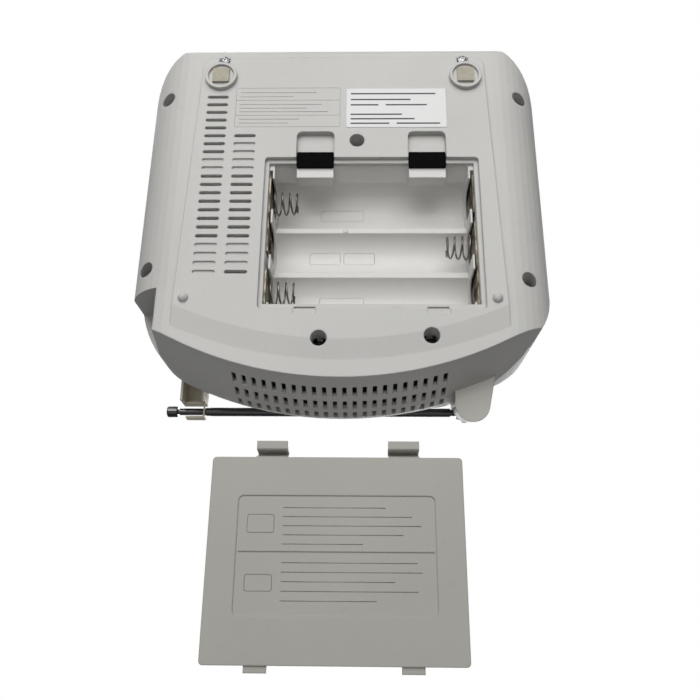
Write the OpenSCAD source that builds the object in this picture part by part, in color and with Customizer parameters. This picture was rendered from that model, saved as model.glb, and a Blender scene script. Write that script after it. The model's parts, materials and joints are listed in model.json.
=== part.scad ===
// Portable disc player, cassette deck and radio in one rounded case.
// Origin: floor level, at the centre of the footprint of the set and its removed battery cover.
// X runs to the right seen from the front, the front faces -Y, +Z is up.

/* [Case] */
// Overall width of the case
case_w = 224; // [222:0.5:226]
// Height of the case top above the floor
case_h = 105; // [105:0.5:107]
// Wall thickness of the case shells
wall = 2.4; // [2:0.1:2.6]
// Height of the feet under the bottom panel
foot_h = 2.5; // [2:0.1:2.8]
// Height of the joint between lower and upper case
seam_z = 56; // [54:0.5:60]
// Gap drawn at each joint between case parts
seam_gap = 0.3; // [0.1:0.05:0.4]
// Greatest radius of the bulging rear wall about its own axis
rear_r = 195; // [193:0.5:195.5]

/* [Battery bay] */
// Diameter of one C cell
cell_d = 26.2; // [25.8:0.1:26.4]
// Distance between the rows of cells
row_pitch = 27.2; // [27.1:0.05:27.3]
// Wire diameter of the battery springs
spring_wire = 0.9; // [0.6:0.1:1.1]
// Turns in each battery spring
spring_turns = 4; // [3:0.5:5]
// Thickness of the battery cover
cover_t = 2.2; // [2:0.1:2.4]
// Gap from the rear of the set to the removed cover
cover_away = 40; // [38:1:46]

/* [Vents] */
// Distance between the bottom vent slots
vent_pitch = 5.2; // [5:0.05:5.25]
// Width of one bottom vent slot
vent_slot = 1.9; // [1.4:0.1:2.4]
// Columns of slots in the rear wall
rear_cols = 22; // [12:2:22]
// Distance between the slot columns of the rear wall
rear_pitch = 5.07; // [4.6:0.01:5.1]
// Width of one slot in the rear wall
rear_slot = 2.1; // [1.6:0.1:2.4]

/* [Antenna] */
// Radius of the outer antenna tube
rod_r = 2.5; // [2.3:0.1:2.6]
// Length of the outer antenna tube
rod_len = 141; // [136:1:142]
// Running clearance between the antenna tubes
rod_clear = 0.08; // [0.05:0.01:0.1]

/* [Disc player] */
// Radius of the disc lid
lid_r = 66; // [65:0.5:66]
// Radius of the spindle nose that centres a disc
nose_r = 7.3; // [7.2:0.05:7.4]

/* [Cassette deck] */
// Half width of the cassette door
door_hw = 53; // [52.5:0.1:53.1]
// Distance between the two tape hubs
hub_pitch = 42.5; // [42.3:0.1:42.7]
// Width of one deck key
key_w = 14.6; // [14:0.1:14.8]

/* [Controls] */
// Radius of the volume and tuning knobs
knob_r = 9.5; // [8:0.1:9.6]
// Radius of the front push buttons
button_r = 4.5; // [4:0.1:4.6]

/* [Hidden] */
$fn = 64;

ys = (203 - cover_away - 92) / 2;   // shift from the rear rim line to the origin
zb = foot_h;           // bottom panel
zr = foot_h + 1.8;     // margins and rear rim
zt = case_h;           // top
hw = case_w / 2;
yf = -203;             // front face at its foot
cy = -186;             // axis of the rear wall
frx = 34;              // plan half-axis of the front corners, across
fry = 39;              // plan half-axis of the front corners, front to rear
sr = 27;               // radius along the bottom sides
tr = 22;               // radius along the top sides
rows_y = [-78.1 - row_pitch, -78.1, -78.1 + row_pitch];
cell_z = 17.3;
rodY = -3; rodZ = 77; pivX = 70;
lidY = -103; hingeY = -33.5; hingeZ = 101.2;
plateY = -179.5;
hubZ = 46;

function arc(cx, cy, r, a0, a1, n) = [for (i = [0:n]) let (a = a0 + (a1 - a0) * i / n) [cx + r * cos(a), cy + r * sin(a)]];
function bez(a, b, c, d, t) = pow(1-t,3)*a + 3*pow(1-t,2)*t*b + 3*(1-t)*t*t*c + pow(t,3)*d;
function rrect(x0, y0, x1, y1, r, n = 4) = concat(arc(x1-r, y1-r, r, 0, 90, n), arc(x0+r, y1-r, r, 90, 180, n), arc(x0+r, y0+r, r, 180, 270, n), arc(x1-r, y0+r, r, 270, 360, n));
function fy(z) = yf + (z - zr - 7) * 7 / (zt - 14 - zr - 7);   // outer face of the leaning front
function fs(z) = fy(z) + 4.5;                                  // joint between front panel and case
function flip(p) = [for (i = [len(p)-1:-1:0]) [-p[i][0], p[i][1]]];

// outlines of the case, inset by o
function prof_front(o) = let (h = concat(arc(hw-sr, zr+sr, sr-o, -90, 0, 10), arc(hw-tr, zt-tr, tr-o, 0, 90, 8))) concat(h, flip(h));
function prof_side(o) = concat([[30, zr+o]], [[30, zt-o]], arc(yf+21, zt-14, 14-o, 90, 180, 8), arc(yf+7, zr+7, 7-o, 180, 270, 6));
function prof_rev(o) = concat([[0, zr+o], [185.4-o, zr+o]],
  [for (i = [1:6]) let (t = i/6) [bez(185.4, 188.6, rear_r, rear_r, t)-o, max(zr+o, bez(zr, 16, 28, 44, t))]],
  [for (i = [1:11]) let (t = i/11) [bez(rear_r, rear_r, 156, 148, t)-o, min(zt-o, bez(44, 66, zt, zt, t))]],
  [[0, zt-o]]);
function prof_plan(o) = let (rc = 60, xc = hw-rc, yc = cy + sqrt(pow(rear_r-rc,2) - pow(xc,2)), a = atan2(yc-cy, xc),
    h = concat([for (i = [0:12]) let (b = -90 + 7.5*i) [hw-frx + (frx-o)*cos(b), yf+fry + (fry-o)*sin(b)]], arc(xc, yc, rc-o, 0, a, 14), [[60, 22]])) concat(h, flip(h));

module B() translate([0, ys, 0]) children();
module along_y(y0, y1) translate([0, y1, 0]) rotate([90, 0, 0]) linear_extrude(y1 - y0) children();
module along_x(x0, x1) translate([x0, 0, 0]) rotate([90, 0, 90]) linear_extrude(x1 - x0) children();
module cyl_x(x0, x1, y, z, r) translate([x0, y, z]) rotate([0, 90, 0]) cylinder(h = x1 - x0, r = r);
module cyl_y(y0, y1, x, z, r) translate([x, y1, z]) rotate([90, 0, 0]) cylinder(h = y1 - y0, r = r);
module cyl_z(z0, z1, x, y, r) translate([x, y, z0]) cylinder(h = z1 - z0, r = r);
module box(x0, x1, y0, y1, z0, z1) translate([x0, y0, z0]) cube([x1 - x0, y1 - y0, z1 - z0]);

module solid(o) intersection() {
  translate([0, cy, 0]) rotate_extrude($fn = 180) polygon(prof_rev(o));
  along_y(-240, 40) polygon(prof_front(o));
  along_x(-140, 140) polygon(prof_side(o));
  linear_extrude(140) polygon(prof_plan(o));
}
module shell() difference() { solid(0); solid(wall); }

// ---- fixed positions shared by several pieces
wells_flat = [[8.2, -136.5], [-10.3, -20.4], [45.8, -22]];
wells_side = [[-100, -169], [100, -169], [-102.4, -61.5], [97.2, -54.5]];
feet = [[-69.2, -179.4], [69.2, -179.4]];
foot_scr = [[-68.1, -191.4], [68.1, -191.4]];
nubs = [[-79.3, -42], [79.3, -42]];
lx = [-14.55, 46.4];   // latch centres
bx0 = -41.7; bx1 = 73.9; by0 = -125.6; by1 = -36;   // cover opening
ix0 = -39.5; ix1 = 71.5; iy0 = -123.2; iy1 = -39.5; // opening behind the ledge
open_slots = [[for (i = [1:8]) i, for (i = [11:18]) i], [6, for (i = [11:18]) i, 22]];
blind_slots = [[9, 10, 19, 20, 21, 22], [7, 8, 9, 10, 19, 20, 21]];
col_x = [[-76, -64.3], [-59.5, -47.7]];

module vent(c, i, z0, z1) translate([0, 0, z0]) linear_extrude(z1 - z0)
  polygon(rrect(col_x[c][0], -165.6 + vent_pitch*(i-1) - vent_slot/2, col_x[c][1], -165.6 + vent_pitch*(i-1) + vent_slot/2, vent_slot/2 - 0.01, 3));

module lower_case() color([0.77, 0.76, 0.74]) B() difference() {
  union() {
    intersection() { shell(); union() { along_x(-130, 130) polygon([[fs(0)+seam_gap/2, 0], [40, 0], [40, seam_z-seam_gap/2], [fs(seam_z)+seam_gap/2, seam_z-seam_gap/2]]); box(-130, 130, -230, -190, 0, 8 - seam_gap/2); } }
    // raised middle panel with its bevelled rear edge
    intersection() {
      translate([0, -222.5, 0]) rotate_extrude($fn = 180) polygon([[0, zb], [202.6, zb], [212.9, zr], [212.9, zr+1.2], [0, zr+1.2]]);
      linear_extrude(20) polygon(concat([[86.5, 10]], [[-86.5, 10]], arc(-74.5, -188, 5.5, 180, 270, 5), arc(74.5, -188, 5.5, 270, 360, 5)));
    }
    intersection() {
      solid(1);
      union() {
        box(-140, -92.1, -51.4, 40, 0, 44.4);
        for (p = wells_side) cyl_z(zr, 26, p[0], p[1], 6.2);
      }
    }
    for (p = wells_flat) cyl_z(zr+1, 19, p[0], p[1], 5.8);
    for (x = lx) box(x-12, x+12, -144.6, -125.9, zr+1, zr+3.9);
    for (p = feet) difference() { cyl_z(0.15, zb+0.6, p[0], p[1], 9); cyl_z(-1, 1.5, p[0], p[1], 7.3); }
    for (p = nubs) translate([p[0], p[1], 2.6]) sphere(r = 2.6);
  }
  // corner cut for the mains inlet
  box(-140, -94.5, -49, 60, -10, 42);
  translate([-99, 0, 0]) along_x(0, 10) polygon(rrect(-46, 16, -28, 26, 4.9));
  // battery opening, ledge and latch recesses
  translate([0, 0, -1]) linear_extrude(1 + zb + 2.4) polygon(rrect(bx0, by0, bx1, by1, 2));
  box(ix0, ix1, iy0, iy1, -1, 12);
  for (x = lx) translate([0, 0, -1]) linear_extrude(1 + zb + 3.4) polygon(rrect(x-10.3, -142.3, x+10.3, -118, 3));
  for (x = [-17.85, 49.7]) { box(x-5.8, x+5.8, -37.9, -33.4, 0, zb+0.3); box(x-5.4, x+5.4, -37.9, -32.8, zb+0.8, zb+3.1); }
  // vents
  for (c = [0, 1]) { for (i = open_slots[c]) vent(c, i, -1, 12); for (i = blind_slots[c]) vent(c, i, -1, zb+0.9); }
  // screw wells
  for (p = wells_flat) { cyl_z(-1, 15, p[0], p[1], 4.1); cyl_z(0, 24, p[0], p[1], 1.7); }
  for (p = wells_side) { cyl_z(-1, 21, p[0], p[1], 4.1); cyl_z(0, 30, p[0], p[1], 1.7); }
  for (p = foot_scr) { cyl_z(-1, zb+0.8, p[0], p[1], 3.4); cyl_z(-1, 12, p[0], p[1], 1.7); }
  // rear grille
  for (i = [0:rear_cols-1], k = [0:2]) let (x = (i - (rear_cols-1)/2) * rear_pitch)
    box(x - rear_slot/2, x + rear_slot/2, -45, 20, 13 + 11.6*k, 20.6 + 11.6*k);
  // headphone hole
  cyl_x(100, 120, -120, 40, 4.2);
}

module handle_channel_block() intersection() {
  solid(1);
  for (s = [-1, 1]) box(min(s*72.8, s*88), max(s*72.8, s*88), -112.2, -52, 96.4, 120);
}
module upper_case() color([0.79, 0.78, 0.76]) B() difference() {
  union() {
    intersection() { shell(); along_x(-130, 130) polygon([[fs(seam_z)+seam_gap/2, seam_z+seam_gap/2], [40, seam_z+seam_gap/2], [40, 120], [fs(120)+seam_gap/2, 120]]); }
    handle_channel_block();
    for (p = [[80, -156], [80, -130]]) cyl_z(98.4, zt-1, p[0], p[1], 12.4);
    for (s = [-1, 1]) box(min(s*18.9, s*24), max(s*18.9, s*24), -37, -30.6, 97.6, zt-1.2);
  }
  cyl_z(90, 120, 0, lidY, lid_r + 0.4);
  cyl_z(90, 120, 0, lidY + 0.8, lid_r + 0.3);
  translate([0, 0, 96.5]) linear_extrude(20) polygon(rrect(-18.5, -46, 18.5, -29, 0.6, 2));
  cyl_x(-24.5, 24.5, hingeY, hingeZ, 1.22);
  for (s = [-1, 1]) box(min(s*75.6, s*84.4), max(s*75.6, s*84.4), -109.5, 40, zt-6.1, 120);
  for (s = [-1, 1]) cyl_x(min(s*72, s*87.2), max(s*72, s*87.2), -105, zt-2.7, 1.62);
  translate([0, 0, 94]) linear_extrude(20) polygon(rrect(-46.6, -181.7, 46.6, -171.5, 0.8, 2));
  for (p = [[80, -156], [80, -130]]) { cyl_z(zt-4, 120, p[0], p[1], 10.4); cyl_z(90, 120, p[0], p[1], 3.06); }
  box(-81.5, -78.5, -161, -139, 90, 120);
}

module front_panel() color([0.74, 0.74, 0.73]) B() difference() {
  union() {
    intersection() { shell(); along_x(-130, 130) polygon([[-230, 8+seam_gap/2], [fs(8)-seam_gap/2, 8+seam_gap/2], [fs(120)-seam_gap/2, 120], [-230, 120]]); }
    for (s = [-1, 1]) box(min(s*53.6, s*57.5), max(s*53.6, s*57.5), -201.6, -197.2, 12.5, 19.5);
  }
  along_y(-230, -180) polygon(rrect(-door_hw-0.3, 13.8, door_hw+0.3, 77.3, 0.2));
  along_y(-230, -180) polygon(rrect(-30.2, 80.2, 30.2, 90.6, 1.2));
  for (s = [-1, 1]) cyl_x(min(s*50, s*56.6), max(s*50, s*56.6), fy(16)+2, 16, 1.28);
  for (x = [-78, 62, 78]) cyl_y(-220, -180, x, 84.6, button_r + 0.3);
  for (s = [-1, 1], i = [-4:4]) let (x = s*77 + i*4.6, l = sqrt(23.5*23.5 - pow(i*4.6, 2)))
    along_y(-230, -180) polygon(rrect(x-1.2, 45-l, x+1.2, 45+l, 1.19, 3));
}

module battery_tray() color([0.83, 0.83, 0.82]) B() difference() {
  union() { box(-41.4, 73.4, -124.5, -36.6, zr+wall+0.05, 33); for (x = lx) box(x-10, x+10, -122.9, -114.9, zb+3.5, 14); }
  difference() {
    union() {
      for (y = rows_y) cyl_x(-36.6, 68.6, y, cell_z, cell_d/2 + 0.3);
      box(-36.6, 68.6, rows_y[0], rows_y[2], 0, 23);
      along_x(-36.6, 68.6) polygon([[iy0+0.2, 0], [iy0+0.2, 8], [rows_y[0]-cell_d/2-0.1, cell_z], [rows_y[0], cell_z], [rows_y[2]+cell_d/2+0.1, cell_z], [rows_y[2]+cell_d/2+0.1, 0]]);
    }
    for (x = lx) box(x-10, x+10, -122.9, -114.9, zb+3.5, 14);
  }
  // contact slots and the openings towards them
  for (s = [[ix0+0.1, -37.6], [69.6, ix1-0.1]]) box(s[0], s[1], -120, -38.2, 0, 28.5);
  for (s = [-38, 68]) for (y = rows_y) { cyl_x(s, s+2, y, cell_z, 9.5); box(s, s+2, y-9.5, y+9.5, 0, cell_z); }
}

module contact(x, d, y0, y1, bumps) {
  union() {
    box(x-0.25, x+0.25, y0, y1, 7.2, 28.2);
    box(min(x+d*0.2, x-d*0.6), max(x+d*0.2, x-d*0.6), y0+1.5, y1-1.5, 7.2, 7.7);
    for (y = bumps) translate([x+d*0.2, y, cell_z]) rotate([0, d*90, 0]) rotate_extrude($fn = 32) polygon([[0,0],[4.5,0],[3.4,1],[0,1.2]]);
  }
}
module contact_left_long() color([0.55, 0.47, 0.33]) B() contact(-38.7, 1, -117.5, -71, [rows_y[1]]);
module contact_left_short() color([0.55, 0.47, 0.33]) B() contact(-38.7, 1, -60.8, -40.8, []);
module contact_right_short() color([0.55, 0.47, 0.33]) B() contact(70.7, -1, -117, -94.5, [rows_y[0]]);
module contact_right_long() color([0.55, 0.47, 0.33]) B() contact(70.7, -1, -88.6, -40.8, [rows_y[2]]);

// a coil along X: base at 0, free end at len; both ends close up
module coil(len, r0, r1) {
  n = 16; k = 6; N = spring_turns * n; w = spring_wire / 2;
  function px(t) = w + (len - 2*w) * (t < 0.12 ? t*0.25 : t > 0.88 ? 1-(1-t)*0.25 : 0.03 + (t-0.12)/0.76*0.94);
  function pt(i) = let (t = i/N, a = i*360/n, r = r0 + (r1-r0)*t) [px(t), r*cos(a), r*sin(a)];
  pts = [for (i = [0:N]) let (a = i*360/n, c = pt(i)) for (j = [0:k-1]) let (b = j*360/k) [c[0] + w*sin(b), c[1] + w*cos(b)*cos(a), c[2] + w*cos(b)*sin(a)]];
  faces = concat([[for (j = [0:k-1]) j]], [[for (j = [k-1:-1:0]) N*k + j]],
    [for (i = [0:N-1], j = [0:k-1]) let (a = i*k+j, b = i*k+(j+1)%k) [a, a+k, b+k, b]]);
  polyhedron(points = pts, faces = faces, convexity = 6);
}
module battery_springs() color([0.42, 0.4, 0.34]) B() {
  for (y = [rows_y[0], rows_y[2]]) translate([-38.4, y, cell_z]) coil(14.5, 6.6, 5.2);
  translate([70.4, rows_y[1], cell_z]) mirror([1, 0, 0]) coil(14.5, 6.6, 5.2);
}

module latch_pads() color([0.05, 0.05, 0.05]) B() for (x = lx)
  translate([0, 0, zb+1.9]) linear_extrude(1.45) polygon(rrect(x-10.1, -130.2, x+10.1, -120.7, 0.6, 2));
module foot_pads() color([0.78, 0.76, 0.66]) B() for (p = feet) box(p[0]-4.6, p[0]+4.6, p[1]-4.6, p[1]+4.6, 0, 1.45);

module screw(x, y, z, l) translate([x, y, z]) difference() {
  union() { rotate_extrude($fn = 32) polygon([[0, -1.7], [1.4, -1.6], [2.4, -1.1], [3, 0], [0, 0]]); cylinder(h = l, r = 1.45); }
  for (a = [0, 90]) rotate([0, 0, a+20]) translate([-1.7, -0.3, -2]) cube([3.4, 0.6, 1.3]);
}
module case_screws() color([0.6, 0.62, 0.64]) B() {
  for (p = wells_flat) screw(p[0], p[1], 14.95, 10);
  for (p = wells_side) screw(p[0], p[1], 20.95, 12);
  for (p = foot_scr) screw(p[0], p[1], zb+0.75, 9);
}
module label_plate() color([0.86, 0.86, 0.85]) B() translate([0, 0, zb-0.15]) linear_extrude(0.15) polygon(rrect(1.9, -171.4, 58, -144.8, 1));

module ac_inlet() color([0.08, 0.08, 0.08]) B() {
  difference() {
    union() { along_x(-94.4, -80) polygon(rrect(-45.8, 16.2, -28.2, 25.8, 4.8)); along_x(-92, -90.4) polygon(rrect(-48.2, 14, -25.8, 28, 3)); }
    along_x(-95, -82.5) polygon(rrect(-44.4, 17.6, -29.6, 24.4, 3.3));
  }
  for (y = [-41.4, -32.6]) union() { cyl_x(-91.5, -81.5, y, 21, 1.15); }
}

module d_plan() polygon(concat(arc(68.2, 6.9, 8.9, 12, 180, 14), [[59.3, -36], [81.4, -36], [81, -10]]));
module antenna_housing() color([0.68, 0.67, 0.65]) B() difference() {
  intersection() {
    translate([0, 0, 30]) rotate([14.8, 4.5, 0]) translate([0, 0, -20]) linear_extrude(100) d_plan();
    along_x(50, 95) polygon([[-36, 30], [30, 30], [3.4, 80], [1.4, 84], [-2, 88.6], [-10, 91], [-36, 91]]);
  }
  solid(0);
  box(50, 76.2, rodY-3.4, rodY+3.4, 70, 110);
  cyl_y(rodY-14, rodY+5.6, pivX, rodZ, 1.55);
}
module antenna_pin() color([0.6, 0.6, 0.62]) B() union() { cyl_y(rodY-13.5, rodY+5.5, pivX, rodZ, 1.5); }
module antenna_knuckle() color([0.8, 0.8, 0.82]) B() difference() {
  union() { cyl_y(rodY-3, rodY+3, pivX, rodZ, 4.6); cyl_x(pivX-11, pivX-2, rodY, rodZ, 1.9); }
  cyl_y(rodY-6, rodY+6, pivX, rodZ, 1.55);
}
tube_x1 = pivX - 8;              // root of the outer tube
tube_x0 = tube_x1 - rod_len;     // its mouth
m_r = rod_r - 0.45 - rod_clear; i_r = m_r - 0.4 - rod_clear;
module antenna_outer_tube() color([0.85, 0.85, 0.87]) B() difference() {
  union() { cyl_x(tube_x0+2.4, tube_x1, rodY, rodZ, rod_r); cyl_x(tube_x0, tube_x0+2.5, rodY, rodZ, rod_r-0.15); }
  cyl_x(tube_x0-1, tube_x1-6.5, rodY, rodZ, rod_r-0.45);
  cyl_x(tube_x1-8, tube_x1+1, rodY, rodZ, 1.92);
}
module antenna_middle_tube() color([0.85, 0.85, 0.87]) B() difference() {
  cyl_x(tube_x0-15.4, tube_x1-9.5, rodY, rodZ, m_r);
  cyl_x(tube_x0-17, tube_x1-12, rodY, rodZ, m_r-0.4);
}
module antenna_inner_tube() color([0.85, 0.85, 0.87]) B() cyl_x(tube_x0-19, tube_x1-13, rodY, rodZ, i_r);
module antenna_tip() color([0.85, 0.85, 0.87]) B() translate([tube_x0-22.6, rodY, rodZ]) rotate([0, 90, 0]) difference() {
  rotate_extrude($fn = 48) polygon([[0, 0], [2.6, 0], [3.2, 0.6], [3.2, 5.8], [2.7, 6.3], [0, 6.3]]);
  translate([0, 0, 3.6]) cylinder(h = 5, r = i_r);
}

module antenna_clip() color([0.72, 0.7, 0.66]) B() difference() {
  union() {
    for (x = [-92.4, -80.4]) box(x, x+1.4, -34, rodY-4, 66, 80);
    box(-92.4, -79, -34, rodY-4, 78.4, 80);
    box(-92.4, -79, rodY-5.4, rodY-4, 74, 80);
    box(-80.1, -79.2, rodY-5, rodY+4.6, 73.2, 74.4);
    box(-90, -79.2, rodY+3.4, rodY+4.6, 73.2, 78.5);
  }
  solid(0);
}

module power_transformer() color([0.35, 0.34, 0.33]) B() {
  difference() { box(-88, -48, -110, -66, 10, 44); for (x = [-80, -62]) box(x, x+6, -120, -60, 16, 38); }
  for (x = [-79.7]) box(x, x+5.4, -114, -62, 16.3, 37.7);
  for (x = [-61.7]) box(x, x+5.4, -114, -62, 16.3, 37.7);
}
module main_board() color([0.2, 0.36, 0.22]) B() union() {
  box(-40, 90, -118, -44, 37, 38.6);
  for (p = [[-20, -100, 5, 14], [0, -62, 4, 11], [40, -100, 6, 16], [70, -70, 4, 9]]) cyl_z(38.5, 38.6+p[3], p[0], p[1], p[2]);
  for (p = [[10, -90], [48, -66]]) box(p[0], p[0]+18, p[1], p[1]+8, 38.5, 42);
}
module ferrite_rod() color([0.15, 0.14, 0.14]) B() union() { cyl_x(-48, 48, -52, 66, 4.6); cyl_x(-20, 10, -52, 66, 5.6); }

module speaker_frames() color([0.25, 0.25, 0.26]) B() for (s = [-1, 1]) translate([s*77, -172, 45]) rotate([90, 0, 0])
  rotate_extrude($fn = 48) polygon([[0, 0], [13, 0], [13, 7], [22.5, 14.6], [24, 14.6], [24, 16], [21, 16], [11, 8.4], [11, 2], [0, 2]]);
module speaker_cones() color([0.12, 0.12, 0.12]) B() for (s = [-1, 1]) translate([s*77, -172, 45]) rotate([90, 0, 0])
  rotate_extrude($fn = 48) polygon([[0, 8.2], [8.5, 9], [20.8, 16.2], [20.8, 16.8], [8, 9.8], [6, 11.2], [0, 12]]);

module deck_frame() color([0.3, 0.3, 0.31]) B() difference() {
  union() {
    box(-50, 50, plateY, plateY+2, 14, 74);
    for (s = [-1, 1]) cyl_y(plateY-11, plateY+0.5, s*hub_pitch/2, hubZ, 1.5);
    for (s = [-1, 1]) box(s*49-1, s*49+1, plateY-0.1, plateY+8, 14, 74);
  }
  cyl_y(plateY-2, plateY+4, 12, 24, 1.06);
}
module hub(x) difference() {
  union() {
    cyl_y(plateY-10.4, plateY-0.3, x, hubZ, 3.9);
    cyl_y(plateY-1.8, plateY-0.3, x, hubZ, 7);
    for (a = [0, 120, 240]) translate([x, 0, hubZ]) rotate([0, a, 0]) box(-0.5, 0.5, plateY-9, plateY-2, 3, 4.9);
  }
  cyl_y(plateY-20, plateY+5, x, hubZ, 1.56);
}
module reel_hub_left() color([0.9, 0.9, 0.88]) B() hub(-hub_pitch/2);
module reel_hub_right() color([0.9, 0.9, 0.88]) B() hub(hub_pitch/2);
module flywheel() color([0.72, 0.62, 0.35]) B() union() { cyl_y(plateY-9, plateY+8, 12, 24, 1); cyl_y(plateY+4, plateY+9, 12, 24, 13.5); }
module deck_motor() color([0.62, 0.62, 0.64]) B() difference() { cyl_y(-167, -148, -34, 28, 11.5); cyl_y(-180, -150, -34, 28, 1.06); }
module motor_pulley() color([0.8, 0.78, 0.7]) B() union() { cyl_y(-176, -152, -34, 28, 1); cyl_y(-175, -170.5, -34, 28, 4); }
module belt_path(r0, r1) hull() { translate([12, 24]) circle(r = r0, $fn = 48); translate([-34, 28]) circle(r = r1, $fn = 32); }
module drive_belt() color([0.08, 0.08, 0.08]) B() along_y(-173.8, -171.8) difference() { belt_path(14.9, 5.4); belt_path(13.9, 4.4); }
module tape_head() color([0.7, 0.7, 0.72]) B() union() { box(-13, 2, plateY-9.5, plateY-0.1, 16, 24); box(-9, -2, plateY-8.5, plateY-1.5, 23.9, 26); }

module cassette_door() color([0.5, 0.52, 0.54]) B() difference() {
  union() {
    along_x(-door_hw, door_hw) polygon([[fy(16), 16], [fy(77), 77], [fy(77)+2.3, 77], [fy(16)+3.4, 17.4], [fy(16)+3.4, 16]]);
    cyl_x(-door_hw, door_hw, fy(16)+2, 16, 2);
    cyl_x(-door_hw-3.3, door_hw+3.3, fy(16)+2, 16, 1.2);
    for (s = [-1, 1]) along_x(min(s*51, s*52.6), max(s*51, s*52.6)) polygon([[fy(20)+1.5, 18], [fy(72)+1.5, 72], [-185.5, 72], [-185.5, 20]]);
  }
}

key_names = ["record", "play", "rewind", "forward", "stop", "pause"];
module deck_key(i) B() let (x = (i - 2.5) * 15.4) difference() {
  union() {
    along_x(x - key_w/2, x + key_w/2) polygon([[-181.2, 97], [-181.2, zt-0.6], [-180.2, zt+1.2], [-173, zt+1.5], [-172, zt+0.4], [-172, 97]]);
    box(x-2, x+2, -179, -174, 89, 97.1);
  }
  cyl_x(x - key_w/2 - 1, x + key_w/2 + 1, -176.6, zt+13, 12.3);
}
module key_record() color([0.72, 0.3, 0.28]) deck_key(0);
module key_play() color([0.6, 0.6, 0.6]) deck_key(1);
module key_rewind() color([0.6, 0.6, 0.6]) deck_key(2);
module key_forward() color([0.6, 0.6, 0.6]) deck_key(3);
module key_stop() color([0.6, 0.6, 0.6]) deck_key(4);
module key_pause() color([0.6, 0.6, 0.6]) deck_key(5);

module cd_lid() color([0.8, 0.79, 0.77]) B() difference() {
  union() {
    translate([0, lidY, 0]) rotate_extrude($fn = 128) polygon([[0, zt-2.6], [lid_r-1.4, zt-2.6], [lid_r, zt-1.1], [lid_r, zt], [0, zt]]);
    box(-17.9, 17.9, -45, hingeY, zt-2.6, zt);
    box(-17.9, 17.9, -39, hingeY, zt-4.4, zt-2.5);
    cyl_x(-17.9, 17.9, hingeY, hingeZ, 2.6);
  }
  cyl_x(-30, 30, hingeY, hingeZ, 1.25);
}
module lid_pin() color([0.7, 0.7, 0.72]) B() cyl_x(-23.8, 23.8, hingeY, hingeZ, 1.2);
module cd_clamp() color([0.3, 0.3, 0.32]) B() translate([0, lidY, 0]) rotate_extrude($fn = 48) polygon([[7.7, 95.7], [13, 95.7], [14.5, 97.5], [14.5, zt-2.65], [0, zt-2.65], [0, zt-5], [7.7, zt-5]]);
module cd_well() color([0.25, 0.25, 0.26]) B() difference() {
  translate([0, lidY, 0]) rotate_extrude($fn = 96) polygon([[0, 90], [60, 90], [64.9, 95], [64.9, 99.6], [68.5, 99.6], [68.5, 101.6], [63, 101.6], [63, 96], [59, 92], [0, 92]]);
  cyl_z(80, 100, 0, lidY, 4);
  box(-12, 12, -161, -116, 80, 98);
  box(-26, 26, -46, -25, 98.7, 103);
}
module cd_motor() color([0.62, 0.62, 0.64]) B() difference() { cyl_z(76, 89.9, 0, lidY, 11); cyl_z(78, 95, 0, lidY, 1.06); }
module turntable() color([0.14, 0.14, 0.15]) B() translate([0, lidY, 0]) rotate_extrude($fn = 48)
  polygon([[0, 79], [1, 79], [1, 92.5], [13, 92.5], [13, 94.3], [nose_r, 94.3], [nose_r, 96.4], [nose_r-2.2, 97.7], [0, 97.7]]);
module laser_sled() color([0.2, 0.2, 0.22]) B() difference() { union() { box(-11, 11, -129.5, -117, 84, 91.4); cyl_z(91.3, 91.9, 0, -123, 3.2); } cyl_z(91.6, 93, 0, -123, 2.2); }

module carry_handle() color([0.76, 0.75, 0.73]) B() difference() {
  union() {
    difference() {
      translate([0, 0, zt-5.6]) linear_extrude(5.9) difference() {
        polygon(rrect(-84, -105, 84, -14, 30, 10));
        polygon(rrect(-76, -170, 76, -26, 22, 10));
        translate([-90, -120]) square([180, 15]);
      }
      box(-90, 90, -130, -105, 80, 120);
    }
    for (s = [-1, 1]) cyl_x(min(s*76, s*84), max(s*76, s*84), -105, zt-2.7, 2.95);
    for (s = [-1, 1]) box(min(s*76, s*84), max(s*76, s*84), -105, -92, zt-5.6, zt+0.3);
  }
  cyl_x(-90, 90, -105, zt-2.7, 1.65);
}
module handle_pins() color([0.7, 0.7, 0.72]) B() for (s = [-1, 1]) cyl_x(min(s*72.9, s*87), max(s*72.9, s*87), -105, zt-2.7, 1.58);

module lcd_window() color([0.12, 0.14, 0.16]) B() along_x(-30, 30) polygon([[fy(80.4)+0.2, 80.4], [fy(90.4)+0.2, 90.4], [fy(90.4)+1.9, 90.4], [fy(80.4)+1.9, 80.4]]);
module push(x) union() { cyl_y(fy(84.6)-1.6, -190.5, x, 84.6, button_r); cyl_y(-193.2, -190.5, x, 84.6, button_r+1.1); }
module button_source() color([0.55, 0.56, 0.58]) B() push(-78);
module button_skip() color([0.55, 0.56, 0.58]) B() push(62);
module button_mode() color([0.55, 0.56, 0.58]) B() push(78);
module knob(p) translate([p[0], p[1], 0]) difference() {
  union() { cyl_z(zt-3.6, zt+1.5, 0, 0, knob_r); cyl_z(93, zt-3.5, 0, 0, 3); }
  for (i = [0:23]) rotate([0, 0, i*15]) cyl_z(zt-2.6, zt+3, knob_r+0.35, 0, 0.75, $fn = 16);
  rotate([0, 0, 90]) box(3.5, knob_r-1.6, -0.4, 0.4, zt+1, zt+3);
}
module volume_knob() color([0.5, 0.51, 0.53]) B() knob([80, -156]);
module tuning_knob() color([0.5, 0.51, 0.53]) B() knob([80, -130]);
module function_switch() color([0.4, 0.41, 0.43]) B() union() {
  box(-84, -76, -160.4, -152.4, zt+0.3, zt+1.5);
  box(-81.1, -78.9, -159.4, -153.4, 96, zt+0.4);
  box(-84, -76, -161, -151.8, 96, 98);
  for (i = [0:2]) box(-83, -77, -159 + i*2.4, -158.2 + i*2.4, zt+1.4, zt+1.5);
}
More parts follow.
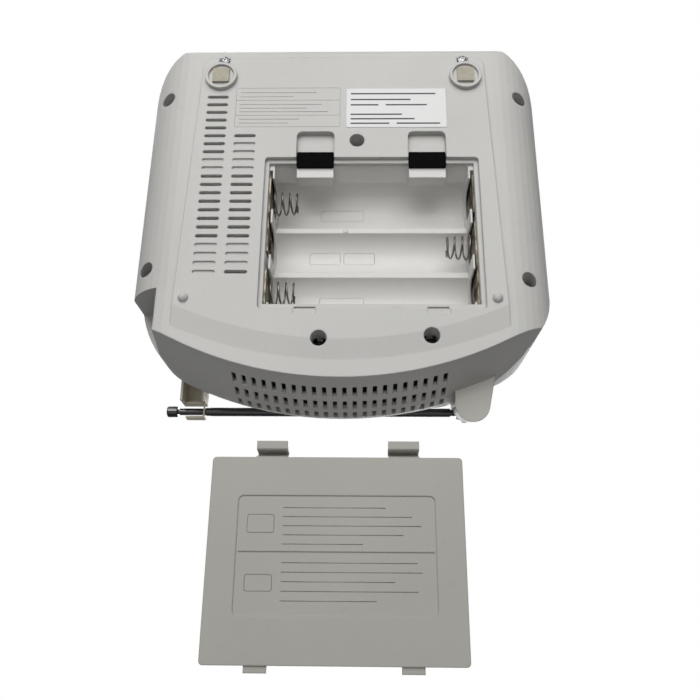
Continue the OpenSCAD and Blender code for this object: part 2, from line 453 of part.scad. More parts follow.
module headphone_jack() color([0.1, 0.1, 0.1]) B() difference() {
  union() { cyl_x(96, 111.8, -120, 40, 3.9); box(94, 105, -125.5, -114.5, 35, 45); }
  cyl_x(98, 120, -120, 40, 1.8);
}

// Battery cover, removed and laid outer face down behind the set
cvx = 0; cvy = cover_away;
module hook(x) along_x(x-7.2, x+7.2) polygon([[0.8, 0.8], [0.8, 2.2], [-1.2, 9], [-2.4, 10.2], [-4.2, 10.2], [-5.2, 9.2], [-5.6, 3.6], [-8, 3.1], [-8, 1.5], [-4.4, 1.7], [-3.8, 2.4], [-3.3, 8], [-2.6, 8], [-0.8, 2], [-0.4, 0.8]]);
module battery_cover() color([0.64, 0.63, 0.6]) B() translate([cvx - 57.5, cvy, 0]) difference() {
  union() {
    linear_extrude(cover_t) polygon(rrect(0, 0, 115, 89, 1.8));
    translate([27.1, 0, 0]) hook(0);
    translate([88.3, 0, 0]) hook(0);
    for (x = [23.8, 91]) box(x-4.9, x+4.9, 85, 92, 0.9, 2.9);
    for (x = [38, 57.5, 77]) box(x-0.6, x+0.6, 8, 81, cover_t-0.1, cover_t+1.2);
    for (y = [8, 79.8]) box(12, 103, y, y+1.2, cover_t-0.1, cover_t+1.2);
  }
  difference() {
    translate([13, 17.6, -1]) linear_extrude(1.4) polygon(rrect(0, 0, 89, 51.6, 2.4));
    box(14, 101, 41.7, 42.3, -2, 1);
  }
}

lower_case();
upper_case();
front_panel();
battery_tray();
battery_cover();
contact_left_long();
contact_left_short();
contact_right_long();
contact_right_short();
battery_springs();
latch_pads();
foot_pads();
case_screws();
label_plate();
ac_inlet();
antenna_housing();
antenna_clip();
antenna_pin();
antenna_knuckle();
antenna_outer_tube();
antenna_middle_tube();
antenna_inner_tube();
antenna_tip();
power_transformer();
main_board();
ferrite_rod();
speaker_frames();
speaker_cones();
deck_frame();
deck_motor();
motor_pulley();
drive_belt();
flywheel();
reel_hub_left();
reel_hub_right();
tape_head();
cassette_door();
key_record();
key_play();
key_rewind();
key_forward();
key_stop();
key_pause();
cd_lid();
cd_clamp();
cd_well();
cd_motor();
turntable();
laser_sled();
lid_pin();
carry_handle();
handle_pins();
lcd_window();
button_source();
button_skip();
button_mode();
volume_knob();
tuning_knob();
function_switch();
headphone_jack();
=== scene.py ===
import bpy, bmesh, json, math, random
from mathutils import Matrix, Vector


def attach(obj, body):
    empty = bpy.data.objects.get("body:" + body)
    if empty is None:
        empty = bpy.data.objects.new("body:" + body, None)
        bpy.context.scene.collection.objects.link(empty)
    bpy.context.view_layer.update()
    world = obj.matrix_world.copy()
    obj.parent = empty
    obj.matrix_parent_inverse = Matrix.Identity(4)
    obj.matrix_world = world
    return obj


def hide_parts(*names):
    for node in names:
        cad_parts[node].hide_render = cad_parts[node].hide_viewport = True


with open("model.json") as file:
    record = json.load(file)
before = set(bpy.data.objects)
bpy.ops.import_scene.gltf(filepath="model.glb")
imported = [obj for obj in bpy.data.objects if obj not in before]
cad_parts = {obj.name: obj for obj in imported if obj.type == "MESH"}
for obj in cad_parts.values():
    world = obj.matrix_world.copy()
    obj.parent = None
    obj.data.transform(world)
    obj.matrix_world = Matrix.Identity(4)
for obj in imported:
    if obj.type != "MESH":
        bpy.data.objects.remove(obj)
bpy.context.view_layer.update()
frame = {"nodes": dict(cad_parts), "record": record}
random.seed(7)
YS = 0.0355
MM = 0.001


def P(x, y, z):
    """A point given in millimetres from the rear rim line, in the row frame."""
    return Vector((x * MM, y * MM + YS, z * MM))


# ------------------------------------------------------------------ materials
def new_mat(name):
    m = bpy.data.materials.new(name)
    m.use_nodes = True
    nt = m.node_tree
    nt.nodes.clear()
    out = nt.nodes.new("ShaderNodeOutputMaterial")
    b = nt.nodes.new("ShaderNodeBsdfPrincipled")
    nt.links.new(b.outputs[0], out.inputs[0])
    return m, nt, b


def lin(c):
    return tuple(((v / 12.92) if v <= 0.04045 else ((v + 0.055) / 1.055) ** 2.4) for v in c[:3])


def hexc(h):
    return lin(tuple(int(h[i:i + 2], 16) / 255 for i in (0, 2, 4)))


def noise(nt, coord, scale, detail=2.0, rough=0.5):
    n = nt.nodes.new("ShaderNodeTexNoise")
    n.inputs["Scale"].default_value = scale
    n.inputs["Detail"].default_value = detail
    n.inputs["Roughness"].default_value = rough
    nt.links.new(coord, n.inputs["Vector"])
    return n


def ramp(nt, fac, p0, c0, p1, c1):
    r = nt.nodes.new("ShaderNodeValToRGB")
    r.color_ramp.elements[0].position = p0
    r.color_ramp.elements[0].color = (*c0, 1) if len(c0) == 3 else c0
    r.color_ramp.elements[1].position = p1
    r.color_ramp.elements[1].color = (*c1, 1) if len(c1) == 3 else c1
    nt.links.new(fac, r.inputs[0])
    return r


def scaled(c, k):
    return tuple(min(1.0, v * k) for v in c)


def mixc(nt, fac, a, b, mode="MIX"):
    m = nt.nodes.new("ShaderNodeMix")
    m.data_type = "RGBA"
    m.blend_type = mode
    if isinstance(fac, (int, float)):
        m.inputs["Factor"].default_value = fac
    else:
        nt.links.new(fac, m.inputs["Factor"])
    for s, v in (("A", a), ("B", b)):
        i = [x for x in m.inputs if x.name == s and x.type == "RGBA"][0]
        if isinstance(v, tuple):
            i.default_value = (*v, 1)
        else:
            nt.links.new(v, i)
    return [o for o in m.outputs if o.type == "RGBA"][0]


def plastic(name, hexcol, rough=0.5, grain=1400, bump=0.05, var=0.05, spec=0.4, dust=0.0, soft=0.0009, coat=0.0):
    m, nt, b = new_mat(name)
    base = hexc(hexcol)
    tc = nt.nodes.new("ShaderNodeTexCoord").outputs["Object"]
    big = noise(nt, tc, 14, 4.0)
    col = ramp(nt, big.outputs["Fac"], 0.35, scaled(base, 1 - var), 0.65, scaled(base, 1 + var)).outputs[0]
    fine = noise(nt, tc, grain, 2.0)
    speck = ramp(nt, fine.outputs["Fac"], 0.4, scaled(base, 1 - var * 0.6), 0.6, scaled(base, 1 + var * 0.5)).outputs[0]
    col = mixc(nt, 0.4, col, speck)
    if dust > 0:
        d = noise(nt, tc, 55, 6.0, 0.7)
        dr = ramp(nt, d.outputs["Fac"], 0.56, (0, 0, 0), 0.74, (dust, dust, dust)).outputs[0]
        col = mixc(nt, dr, col, scaled(base, 0.72))
    nt.links.new(col, b.inputs["Base Color"])
    rr = nt.nodes.new("ShaderNodeMapRange")
    nt.links.new(big.outputs["Fac"], rr.inputs["Value"])
    rr.inputs["To Min"].default_value = rough - 0.05
    rr.inputs["To Max"].default_value = rough + 0.07
    nt.links.new(rr.outputs[0], b.inputs["Roughness"])
    b.inputs["Specular IOR Level"].default_value = spec
    if coat:
        b.inputs["Coat Weight"].default_value = coat
        b.inputs["Coat Roughness"].default_value = 0.12
    bm = nt.nodes.new("ShaderNodeBump")
    bm.inputs["Strength"].default_value = bump
    bm.inputs["Distance"].default_value = 0.0003
    nt.links.new(fine.outputs["Fac"], bm.inputs["Height"])
    if soft > 0:
        bv = nt.nodes.new("ShaderNodeBevel")
        bv.samples = 4
        bv.inputs["Radius"].default_value = soft
        nt.links.new(bv.outputs[0], bm.inputs["Normal"])
    nt.links.new(bm.outputs[0], b.inputs["Normal"])
    return m


def metal(name, hexcol, rough=0.3, aniso=0.0, tarnish=None, t0=0.45, t1=0.65, bump=0.05, scale=300, stretch=(1, 1, 1)):
    m, nt, b = new_mat(name)
    base = hexc(hexcol)
    tcn = nt.nodes.new("ShaderNodeTexCoord").outputs["Object"]
    mp = nt.nodes.new("ShaderNodeMapping")
    mp.inputs["Scale"].default_value = stretch
    nt.links.new(tcn, mp.inputs[0])
    tc = mp.outputs[0]
    big = noise(nt, tc, 90, 5.0, 0.65)
    fine = noise(nt, tc, scale, 3.0)
    col = ramp(nt, fine.outputs["Fac"], 0.3, scaled(base, 0.9), 0.7, scaled(base, 1.05)).outputs[0]
    if tarnish:
        tr = ramp(nt, big.outputs["Fac"], t0, (0, 0, 0), t1, (1, 1, 1)).outputs[0]
        col = mixc(nt, tr, col, hexc(tarnish))
    nt.links.new(col, b.inputs["Base Color"])
    rr = nt.nodes.new("ShaderNodeMapRange")
    nt.links.new(big.outputs["Fac"], rr.inputs["Value"])
    rr.inputs["To Min"].default_value = max(0.03, rough - 0.08)
    rr.inputs["To Max"].default_value = rough + 0.12
    nt.links.new(rr.outputs[0], b.inputs["Roughness"])
    b.inputs["Metallic"].default_value = 1.0
    b.inputs["Anisotropic"].default_value = aniso
    bm = nt.nodes.new("ShaderNodeBump")
    bm.inputs["Strength"].default_value = bump
    bm.inputs["Distance"].default_value = 0.0002
    nt.links.new(fine.outputs["Fac"], bm.inputs["Height"])
    nt.links.new(bm.outputs[0], b.inputs["Normal"])
    return m


def screw_metal(name, hexcol, rough):
    """Zinc screw heads near the floor; screws deep in the wells get painted shade: a dark colour and no metal sheen."""
    m = metal(name, hexcol, rough)
    nt = m.node_tree
    b = [n for n in nt.nodes if n.type == "BSDF_PRINCIPLED"][0]
    link = [l for l in nt.links if l.to_socket == b.inputs["Base Color"]][0]
    src = link.from_socket
    geo = nt.nodes.new("ShaderNodeTexCoord")
    sep = nt.nodes.new("ShaderNodeSeparateXYZ")
    nt.links.new(geo.outputs["Object"], sep.inputs[0])
    # painted shade: deeper than 8-10 mm, inside the wells, the screw colour fades to dark grey
    mr = nt.nodes.new("ShaderNodeMapRange")
    mr.inputs["From Min"].default_value = 0.008
    mr.inputs["From Max"].default_value = 0.010
    nt.links.new(sep.outputs["Z"], mr.inputs["Value"])
    col = mixc(nt, mr.outputs[0], src, hexc("242424"))
    nt.links.new(col, b.inputs["Base Color"])
    # painted shade: the metallic sheen fades out deep in the wells, so no glints show there
    inv = nt.nodes.new("ShaderNodeMapRange")
    inv.inputs["From Min"].default_value = 0.008
    inv.inputs["From Max"].default_value = 0.010
    inv.inputs["To Min"].default_value = 1.0
    inv.inputs["To Max"].default_value = 0.0
    nt.links.new(sep.outputs["Z"], inv.inputs["Value"])
    nt.links.new(inv.outputs[0], b.inputs["Metallic"])
    return m


def felt(name, hexcol):
    m, nt, b = new_mat(name)
    base = hexc(hexcol)
    tc = nt.nodes.new("ShaderNodeTexCoord").outputs["Object"]
    n1 = noise(nt, tc, 1500, 4.0, 0.7)
    n2 = noise(nt, tc, 4200, 2.0)
    col = ramp(nt, n1.outputs["Fac"], 0.35, scaled(base, 0.5), 0.7, scaled(base, 2.2)).outputs[0]
    nt.links.new(col, b.inputs["Base Color"])
    b.inputs["Roughness"].default_value = 0.95
    b.inputs["Specular IOR Level"].default_value = 0.04
    b.inputs["Sheen Weight"].default_value = 0.02
    b.inputs["Sheen Roughness"].default_value = 0.5
    add = nt.nodes.new("ShaderNodeMath")
    nt.links.new(n1.outputs["Fac"], add.inputs[0])
    nt.links.new(n2.outputs["Fac"], add.inputs[1])
    bm = nt.nodes.new("ShaderNodeBump")
    bm.inputs["Strength"].default_value = 0.9
    bm.inputs["Distance"].default_value = 0.0004
    nt.links.new(add.outputs[0], bm.inputs["Height"])
    nt.links.new(bm.outputs[0], b.inputs["Normal"])
    return m


def rubber(name, hexcol, rough=0.6, trans=0.0):
    m, nt, b = new_mat(name)
    base = hexc(hexcol)
    tc = nt.nodes.new("ShaderNodeTexCoord").outputs["Object"]
    n1 = noise(nt, tc, 240, 5.0, 0.65)
    col = ramp(nt, n1.outputs["Fac"], 0.3, scaled(base, 0.86), 0.7, scaled(base, 1.08)).outputs[0]
    nt.links.new(col, b.inputs["Base Color"])
    b.inputs["Roughness"].default_value = rough
    b.inputs["Specular IOR Level"].default_value = 0.35
    if trans:
        b.inputs["Subsurface Weight"].default_value = trans
        b.inputs["Subsurface Radius"].default_value = (0.003, 0.0025, 0.0015)
    bm = nt.nodes.new("ShaderNodeBump")
    bm.inputs["Strength"].default_value = 0.2
    bm.inputs["Distance"].default_value = 0.0003
    nt.links.new(n1.outputs["Fac"], bm.inputs["Height"])
    nt.links.new(bm.outputs[0], b.inputs["Normal"])
    return m


def smoked(name, hexcol, alpha=0.6, rough=0.08):
    m, nt, b = new_mat(name)
    base = hexc(hexcol)
    tc = nt.nodes.new("ShaderNodeTexCoord").outputs["Object"]
    n1 = noise(nt, tc, 30, 3.0)
    col = ramp(nt, n1.outputs["Fac"], 0.3, scaled(base, 0.9), 0.7, scaled(base, 1.1)).outputs[0]
    nt.links.new(col, b.inputs["Base Color"])
    rr = nt.nodes.new("ShaderNodeMapRange")
    nt.links.new(n1.outputs["Fac"], rr.inputs["Value"])
    rr.inputs["To Min"].default_value = rough * 0.7
    rr.inputs["To Max"].default_value = rough * 1.6
    nt.links.new(rr.outputs[0], b.inputs["Roughness"])
    b.inputs["Alpha"].default_value = alpha
    b.inputs["Specular IOR Level"].default_value = 0.6
    return m


def mesh_cloth(name, hexcol, pitch=0.0011):
    """Fine woven or perforated dark cloth."""
    m, nt, b = new_mat(name)
    base = hexc(hexcol)
    tc = nt.nodes.new("ShaderNodeTexCoord").outputs["Object"]
    v = nt.nodes.new("ShaderNodeTexVoronoi")
    v.inputs["Scale"].default_value = 1 / pitch
    v.inputs["Randomness"].default_value = 0.15
    nt.links.new(tc, v.inputs["Vector"])
    col = ramp(nt, v.outputs["Distance"], 0.25, scaled(base, 0.35), 0.5, scaled(base, 1.6)).outputs[0]
    nt.links.new(col, b.inputs["Base Color"])
    b.inputs["Roughness"].default_value = 0.8
    bm = nt.nodes.new("ShaderNodeBump")
    bm.inputs["Strength"].default_value = 0.5
    bm.inputs["Distance"].default_value = 0.0003
    nt.links.new(v.outputs["Distance"], bm.inputs["Height"])
    nt.links.new(bm.outputs[0], b.inputs["Normal"])
    return m


M = {
    "case_lower": plastic("case_lower_grey", "c2c1be", 0.5, dust=0.2),
    "case_upper": plastic("case_upper_grey", "c2c1be", 0.5),
    "front_plastic": plastic("front_silver_grey", "c2c1be", 0.48),
    "tray_plastic": plastic("tray_grey", "d3d2cf", 0.48, bump=0.03, var=0.03, dust=0.15),
    "cover_plastic": plastic("cover_grey", "a6a49d", 0.5, dust=0.2),
    "contact_metal": metal("contact_plate", "8b8474", 0.38, tarnish="3b332a", t0=0.4, t1=0.6),
    "spring_steel": metal("spring_wire", "8d8a80", 0.32, tarnish="453f35", t0=0.42, t1=0.72),
    "felt_black": felt("latch_felt", "0a0a0a"),
    "foot_pad": rubber("foot_pad_beige", "aaa594", 0.55, 0.2),
    "screw_steel": screw_metal("screw_zinc", "b4b6b9", 0.33),
    "label": plastic("label_foil", "d8d8d7", 0.36, grain=700, bump=0.02, var=0.02, spec=0.55),
    "black_plastic": plastic("black_moulding", "1b1b1c", 0.42, var=0.12, spec=0.5),
    "housing_plastic": plastic("pivot_housing_grey", "b3b1ab", 0.5),
    "clip_plastic": plastic("clip_beige_grey", "dfd8c6", 0.5),
    "pin_steel": metal("pin_steel", "a6a8ab", 0.25, stretch=(20, 1, 1)),
    "antenna_chrome": metal("antenna_chrome", "606063", 0.1, bump=0.002, tarnish="4c4c4f", t0=0.55, t1=0.8, stretch=(1, 6, 6)),
    "core_steel": metal("core_laminations", "5a5754", 0.5, scale=1500, stretch=(1, 1, 0.1)),
    "board_green": plastic("board_green", "2c5a3a", 0.4, grain=500, var=0.14, spec=0.5),
    "ferrite": plastic("ferrite_dark", "2a2828", 0.6, var=0.1),
    "speaker_metal": metal("speaker_steel", "3b3b3d", 0.45),
    "cone_paper": mesh_cloth("cone_paper", "1c1c1c", 0.0016),
    "deck_metal": metal("deck_plate", "5c5c60", 0.42, stretch=(8, 1, 1)),
    "motor_can": metal("motor_can", "98989b", 0.3, stretch=(1, 1, 12)),
    "belt_rubber": rubber("belt_rubber", "151515", 0.5),
    "brass_turned": metal("turned_brass", "b08f4a", 0.24, stretch=(1, 1, 1)),
    "hub_plastic": plastic("hub_white", "e2e1dc", 0.35, var=0.03, spec=0.5),
    "head_metal": metal("head_metal", "b6b6b8", 0.16),
    "door_plastic": plastic("door_grey", "7c7f83", 0.34, spec=0.5, coat=0.2),
    "key_grey": plastic("key_silver", "97999b", 0.34, grain=900, spec=0.5, soft=0.0004),
    "key_red": plastic("key_red", "9a3b33", 0.34, grain=900, spec=0.5, soft=0.0004),
    "lid_plastic": plastic("lid_silver", "bebebd", 0.36, spec=0.5, coat=0.15),
    "knob_grey": plastic("knob_grey", "77797c", 0.36, spec=0.5, soft=0.0004),
    "window_dark": smoked("smoked_window", "15181a", 0.78),
}
slot_of = {s["node"]: s["material_slot"] for s in frame["record"]["subparts"]}
for name, o in frame["nodes"].items():
    o.data.materials.clear()
    o.data.materials.append(M[slot_of[name]])


# ------------------------------------------------------------------ meshes
def add_mesh(name, verts, faces, mat, body, smooth=True):
    me = bpy.data.meshes.new(name)
    me.from_pydata([tuple(v) for v in verts], [], faces)
    me.update()
    if smooth:
        for p in me.polygons:
            p.use_smooth = True
    o = bpy.data.objects.new(name, me)
    bpy.context.scene.collection.objects.link(o)
    me.materials.append(M[mat] if isinstance(mat, str) else mat)
    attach(o, body)
    return o


def sweep(pts, r, sides=10, closed=False):
    """A tube of radius r along pts, with parallel-transported rings."""
    n = len(pts)
    tang = []
    for i in range(n):
        a = pts[(i - 1) % n] if (closed or i > 0) else pts[0]
        b = pts[(i + 1) % n] if (closed or i < n - 1) else pts[-1]
        tang.append((b - a).normalized())
    nrm = tang[0].orthogonal().normalized()
    verts, faces = [], []
    for i in range(n):
        if i:
            nrm = (nrm - tang[i] * nrm.dot(tang[i])).normalized()
        bi = tang[i].cross(nrm)
        rr = r[i] if isinstance(r, (list, tuple)) else r
        for k in range(sides):
            a = 2 * math.pi * k / sides
            verts.append(pts[i] + (nrm * math.cos(a) + bi * math.sin(a)) * rr)
    last = n if closed else n - 1
    for i in range(last):
        for k in range(sides):
            a, b2 = i * sides + k, i * sides + (k + 1) % sides
            c, d = ((i + 1) % n) * sides + (k + 1) % sides, ((i + 1) % n) * sides + k
            faces.append((a, b2, c, d))
    if not closed:
        faces.append(tuple(range(sides))[::-1])
        faces.append(tuple((n - 1) * sides + k for k in range(sides)))
    return verts, faces


def join(parts):
    V, F = [], []
    for v, f in parts:
        k = len(V)
        V += list(v)
        F += [tuple(i + k for i in t) for t in f]
    return V, F


def slab(outline, z0, z1, ch=0.0, place=lambda x, y, z: P(x, y, z)):
    """A plate from a counter-clockwise outline in mm, with a small chamfer on the z1 side."""
    n = len(outline)
    cx = sum(p[0] for p in outline) / n
    cy = sum(p[1] for p in outline) / n

    def inset(p, d):
        dx, dy = cx - p[0], cy - p[1]
        l = math.hypot(dx, dy) or 1
        return (p[0] + dx / l * d, p[1] + dy / l * d)
    s = 1 if z1 > z0 else -1
    rings = [(outline, z0), (outline, z1 - s * ch), ([inset(p, ch) for p in outline], z1)]
    V = [place(p[0], p[1], z) for ring, z in rings for p in ring]
    F = []
    for r in range(2):
        for i in range(n):
            a, b2 = r * n + i, r * n + (i + 1) % n
            F.append((a, b2, b2 + n, a + n))
    F.append(tuple(range(n))[::-1])
    F.append(tuple(range(2 * n, 3 * n)))
    if s < 0:
        F = [f[::-1] for f in F]
    return V, F


def rrect(x0, y0, x1, y1, r, n=5):
    pts = []
    for cx, cy, a0 in ((x1 - r, y1 - r, 0), (x0 + r, y1 - r, 90), (x0 + r, y0 + r, 180), (x1 - r, y0 + r, 270)):
        for i in range(n + 1):
            a = math.radians(a0 + 90 * i / n)
            pts.append((cx + r * math.cos(a), cy + r * math.sin(a)))
    return pts


# battery springs, as smooth wire
def spring(x0, d, y, z=17.3, length=14.5, r0=6.6, r1=5.4, turns=4, w=0.5):
    pts = []
    n = 28 * turns
    for i in range(n + 1):
        t = i / n
        a = i * 2 * math.pi / 28
        r = r0 + (r1 - r0) * t
        u = t * 0.25 if t < 0.12 else (1 - (1 - t) * 0.25 if t > 0.88 else 0.03 + (t - 0.12) / 0.76 * 0.94)
        pts.append(P(x0 + d * (w + (length - 2 * w) * u), y + r * math.cos(a), z + r * math.sin(a)))
    # the free end crosses the last coil towards the middle
    e = pts[-1]
    pts.append(P(x0 + d * (length - w), y + 1.4, z + 0.6))
    return sweep(pts, w * MM, 10)


V, F = join([spring(-38.4, 1, -105.3), spring(-38.4, 1, -50.9), spring(70.4, -1, -78.1)])
o = add_mesh("springs_wire", V, F, "spring_steel", "case")
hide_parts("battery_springs")

# label: generic bars only
ink = plastic("label_ink", "4b4c4e", 0.5, var=0.1)
bars = []
for (x0, x1, y) in ((4.5, 26, -147.6), (4.5, 40, -150.6), (4.5, 33, -153.6), (4.5, 20, -160.0), (24, 47, -160.0), (4.5, 38, -163.6), (4.5, 52, -167.6), (30, 54, -147.6)):
    bars.append(slab(rrect(x0, y - 0.45, x1, y + 0.45, 0.2, 2), 2.35, 2.3))
V, F = join(bars)
add_mesh("label_bars", V, F, ink, "case", smooth=False)

# embossed instruction field next to the label, bars instead of lettering
frame_pts = rrect(-59.8, -171.8, -1.4, -145.5, 1.0, 4)
lines = [sweep([P(x, y, 2.5) for x, y in frame_pts], 0.11 * MM, 6, closed=True)]
for y in (-153.2, -163.4):
    lines.append(sweep([P(-59.6, y, 2.5), P(-30, y, 2.5), P(-1.6, y, 2.5)], 0.1 * MM, 6))
for (x0, x1, y) in ((-57.5, -30, -148.0), (-57.5, -24, -150.6), (-57.5, -8, -155.6), (-57.5, -20, -158.0), (-57.5, -12, -160.5), (-57.5, -28, -165.8), (-57.5, -15, -168.6)):
    lines.append(sweep([P(x0, y, 2.52), P((x0 + x1) / 2, y, 2.52), P(x1, y, 2.52)], 0.15 * MM, 6))
V, F = join(lines)
add_mesh("embossed_field", V, F, "case_lower", "case")


# cassette window, a smoked panel with a chamfered edge in the door
def fy(z):
    return -203 + (z - 11.3) * 7 / 79.7


def on_door(u, v, h):
    """u across, v up the door in mm, h outwards."""
    return P(u, fy(v) - h, v)


win = slab(rrect(-38, 30, 38, 60, 5, 6), -0.3, 0.25, 0.25, on_door)
V, F = win
F = [f[::-1] for f in F]
add_mesh("cassette_window", V, F, "window_dark", "door")
ring = sweep([on_door(x, y, 0.0) for x, y in rrect(-39.2, 28.8, 39.2, 61.2, 6, 6)], 0.5 * MM, 8, closed=True)
add_mesh("cassette_window_rim", ring[0], ring[1], "key_grey", "door")

# embossed outlines on the cell troughs
def trough(y0, x0, x1, h):
    pts = []
    for x, dy in rrect(x0, -h, x1, h, 1.2, 3):
        pts.append(P(x, y0 + dy, 17.3 + math.sqrt(13.4 ** 2 - dy ** 2)))
    return sweep(pts, 0.13 * MM, 6, closed=True)


V, F = join([trough(-105.3, -12, 12, 3.4), trough(-78.1, -18, -1, 3.6), trough(-78.1, 1, 18, 3.6), trough(-50.9, -12, 12, 3.4)])
add_mesh("trough_outlines", V, F, "tray_plastic", "case")
# ejector mark on the ridge between the first two rows
V, F = slab([(2 + 1.5 * math.cos(2 * math.pi * i / 24), -91.7 + 1.5 * math.sin(2 * math.pi * i / 24)) for i in range(24)], 23.4, 22.7, 0.2)
add_mesh("ejector_mark", V, F, "tray_plastic", "case")

# generic bars in the two fields of the cover
lines = []
for (x0, x1, y) in ((-24, 22, 63), (-24, 34, 67), (-24, 38, 71), (-24, 30, 75), (-24, 12, 79),
                    (-24, 36, 87), (-24, 38, 91), (-24, 26, 95), (-24, 36, 99), (-24, 18, 103)):
    lines.append(sweep([P(x0, y, 0.42), P((x0 + x1) / 2, y, 0.42), P(x1, y, 0.42)], 0.2 * MM, 6))
for (x0, y0, x1, y1) in ((-40, 92, -28, 99), (-40, 66, -28, 74)):
    lines.append(sweep([P(x, y, 0.42) for x, y in rrect(x0, y0, x1, y1, 1.0, 3)], 0.2 * MM, 6, closed=True))
V, F = join(lines)
add_mesh("cover_bars", V, F, "cover_plastic", "cover")

# raised ring and finger mark on the disc lid
def circle(cx, cy, r, n=96):
    return [(cx + r * math.cos(2 * math.pi * i / n), cy + r * math.sin(2 * math.pi * i / n)) for i in range(n)]


rings = [sweep([P(x, y, 105.0) for x, y in circle(0, -103, r)], t * MM, 8, closed=True) for r, t in ((60, 0.35), (22, 0.3))]
V, F = join(rings)
add_mesh("lid_rings", V, F, "lid_plastic", "lid")

# stage ----------------------------------------------------------------
m, nt, b = new_mat("stage_floor")
b.inputs["Base Color"].default_value = (0.86, 0.86, 0.86, 1)
b.inputs["Roughness"].default_value = 0.9
geo = nt.nodes.new("ShaderNodeNewGeometry")
far = nt.nodes.new("ShaderNodeVectorMath")
far.operation = "LENGTH"
nt.links.new(geo.outputs["Position"], far.inputs[0])
glow = nt.nodes.new("ShaderNodeMapRange")
glow.inputs["From Min"].default_value = 0.5
glow.inputs["From Max"].default_value = 3.0
glow.inputs["To Min"].default_value = 0.0
glow.inputs["To Max"].default_value = 0.8
nt.links.new(far.outputs["Value"], glow.inputs["Value"])
b.inputs["Emission Color"].default_value = (1, 1, 1, 1)
nt.links.new(glow.outputs[0], b.inputs["Emission Strength"])
lp = nt.nodes.new("ShaderNodeLightPath")
tr = nt.nodes.new("ShaderNodeBsdfTransparent")
mx = nt.nodes.new("ShaderNodeMixShader")
# seen only from above and only by the camera: everything else passes through
one = nt.nodes.new("ShaderNodeMath")
one.operation = "SUBTRACT"
one.inputs[0].default_value = 1.0
nt.links.new(lp.outputs["Is Camera Ray"], one.inputs[1])
mxm = nt.nodes.new("ShaderNodeMath")
mxm.operation = "MAXIMUM"
nt.links.new(one.outputs[0], mxm.inputs[0])
nt.links.new(geo.outputs["Backfacing"], mxm.inputs[1])
nt.links.new(mxm.outputs[0], mx.inputs[0])
nt.links.new(b.outputs[0], mx.inputs[1])
nt.links.new(tr.outputs[0], mx.inputs[2])
out = [n for n in nt.nodes if n.type == "OUTPUT_MATERIAL"][0]
nt.links.new(mx.outputs[0], out.inputs[0])
me = bpy.data.meshes.new("floor")
s = 6.0
me.from_pydata([(-s, -s, -0.0003), (s, -s, -0.0003), (s, s, -0.0003), (-s, s, -0.0003)], [], [(0, 1, 2, 3)])
me.materials.append(m)
fl = bpy.data.objects.new("floor", me)
bpy.context.scene.collection.objects.link(fl)


def area(name, loc, target, size, power, color=(1, 1, 1)):
    l = bpy.data.lights.new(name, "AREA")
    l.shape = "SQUARE"
    l.size = size
    l.energy = power
    l.color = color
    ob = bpy.data.objects.new(name, l)
    bpy.context.scene.collection.objects.link(ob)
    ob.location = loc
    d = Vector(target) - Vector(loc)
    ob.rotation_euler = d.to_track_quat("-Z", "Y").to_euler()
    return ob


area("key_below", (-0.10, -0.75, -1.15), (0, 0, 0), 1.4, 15.5)
area("top", (0.25, -0.45, 1.5), (0, 0, 0), 1.2, 22)
area("front_fill", (-0.7, -1.5, 0.7), (0, 0, 0.05), 1.0, 9)
area("rear_fill", (0.4, 1.5, 1.1), (0, 0, 0.05), 1.2, 1.6)
strip = area("strip_below", (-0.05, -0.55, -1.3), (0, 0, 0), 1.1, 2.2)
strip.data.shape = "RECTANGLE"
strip.data.size_y = 0.05
w = bpy.data.worlds.new("studio")
w.use_nodes = True
wn = w.node_tree
wn.nodes.clear()
wo = wn.nodes.new("ShaderNodeOutputWorld")
bg1 = wn.nodes.new("ShaderNodeBackground")
wt = wn.nodes.new("ShaderNodeTexCoord")
ws = wn.nodes.new("ShaderNodeSeparateXYZ")
wn.links.new(wt.outputs["Generated"], ws.inputs[0])
wr = wn.nodes.new("ShaderNodeValToRGB")
wr.color_ramp.elements[0].position = 0.0
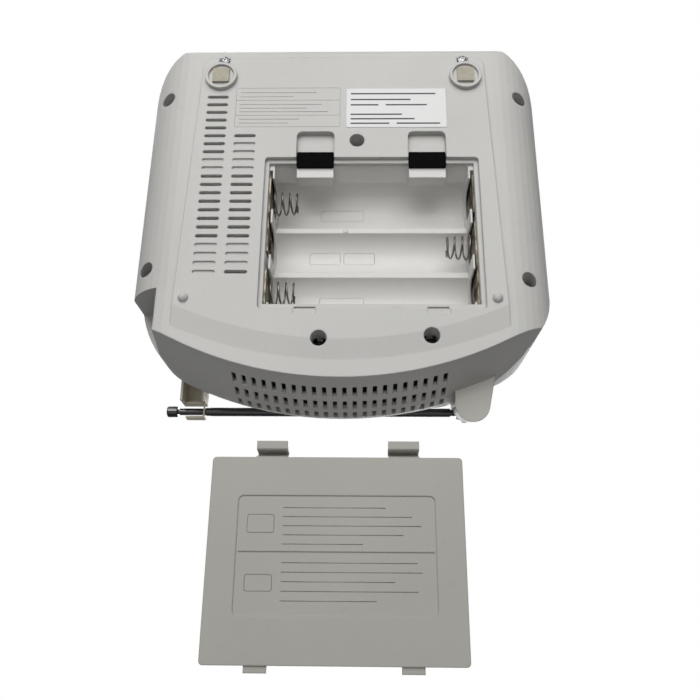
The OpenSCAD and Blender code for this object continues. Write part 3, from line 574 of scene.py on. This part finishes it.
wr.color_ramp.elements[0].color = (1.0, 1.0, 1.0, 1)
wr.color_ramp.elements[1].position = 1.0
wr.color_ramp.elements[1].color = (0.8, 0.8, 0.8, 1)
for pos, v in ((0.16, 0.9), (0.34, 0.3), (0.5, 0.1), (0.62, 0.3), (0.8, 0.7)):
    e = wr.color_ramp.elements.new(pos)
    e.color = (v, v, v, 1)
wmr = wn.nodes.new("ShaderNodeMapRange")
wmr.inputs["From Min"].default_value = -1.0
wmr.inputs["From Max"].default_value = 1.0
wn.links.new(ws.outputs["Z"], wmr.inputs["Value"])
wn.links.new(wmr.outputs[0], wr.inputs[0])
wn.links.new(wr.outputs[0], bg1.inputs[0])
bg1.inputs[1].default_value = 0.42
bg2 = wn.nodes.new("ShaderNodeBackground")
bg2.inputs[0].default_value = (1, 1, 1, 1)
bg2.inputs[1].default_value = 1.0
wl = wn.nodes.new("ShaderNodeLightPath")
wm = wn.nodes.new("ShaderNodeMixShader")
wn.links.new(wl.outputs["Is Camera Ray"], wm.inputs[0])
wn.links.new(bg1.outputs[0], wm.inputs[1])
wn.links.new(bg2.outputs[0], wm.inputs[2])
wn.links.new(wm.outputs[0], wo.inputs[0])
bpy.context.scene.world = w
bpy.context.scene.view_settings.view_transform = "Standard"

# camera ---------------------------------------------------------------
right = Vector((0.9998514, -0.0085972, 0.0149407))
up = Vector((-0.0028341, -0.9369408, -0.3494766))
view = Vector((-0.0170030, -0.3493823, 0.9368260))
cd = bpy.data.cameras.new("photo_camera")
cd.sensor_width = 36
cd.lens = 742.244 / 700 * 36
cd.clip_start = 0.02
cd.clip_end = 50
cam = bpy.data.objects.new("photo_camera", cd)
bpy.context.scene.collection.objects.link(cam)
back = -view
mtx = Matrix(((right.x, up.x, back.x, 0), (right.y, up.y, back.y, 0), (right.z, up.z, back.z, 0), (0, 0, 0, 1)))
loc = P(0.98 * 11.802828, 0.98 * 115.58, -0.98 * 347.8124 + 2.5)
mtx.translation = loc
cam.matrix_world = mtx
bpy.context.scene.camera = cam
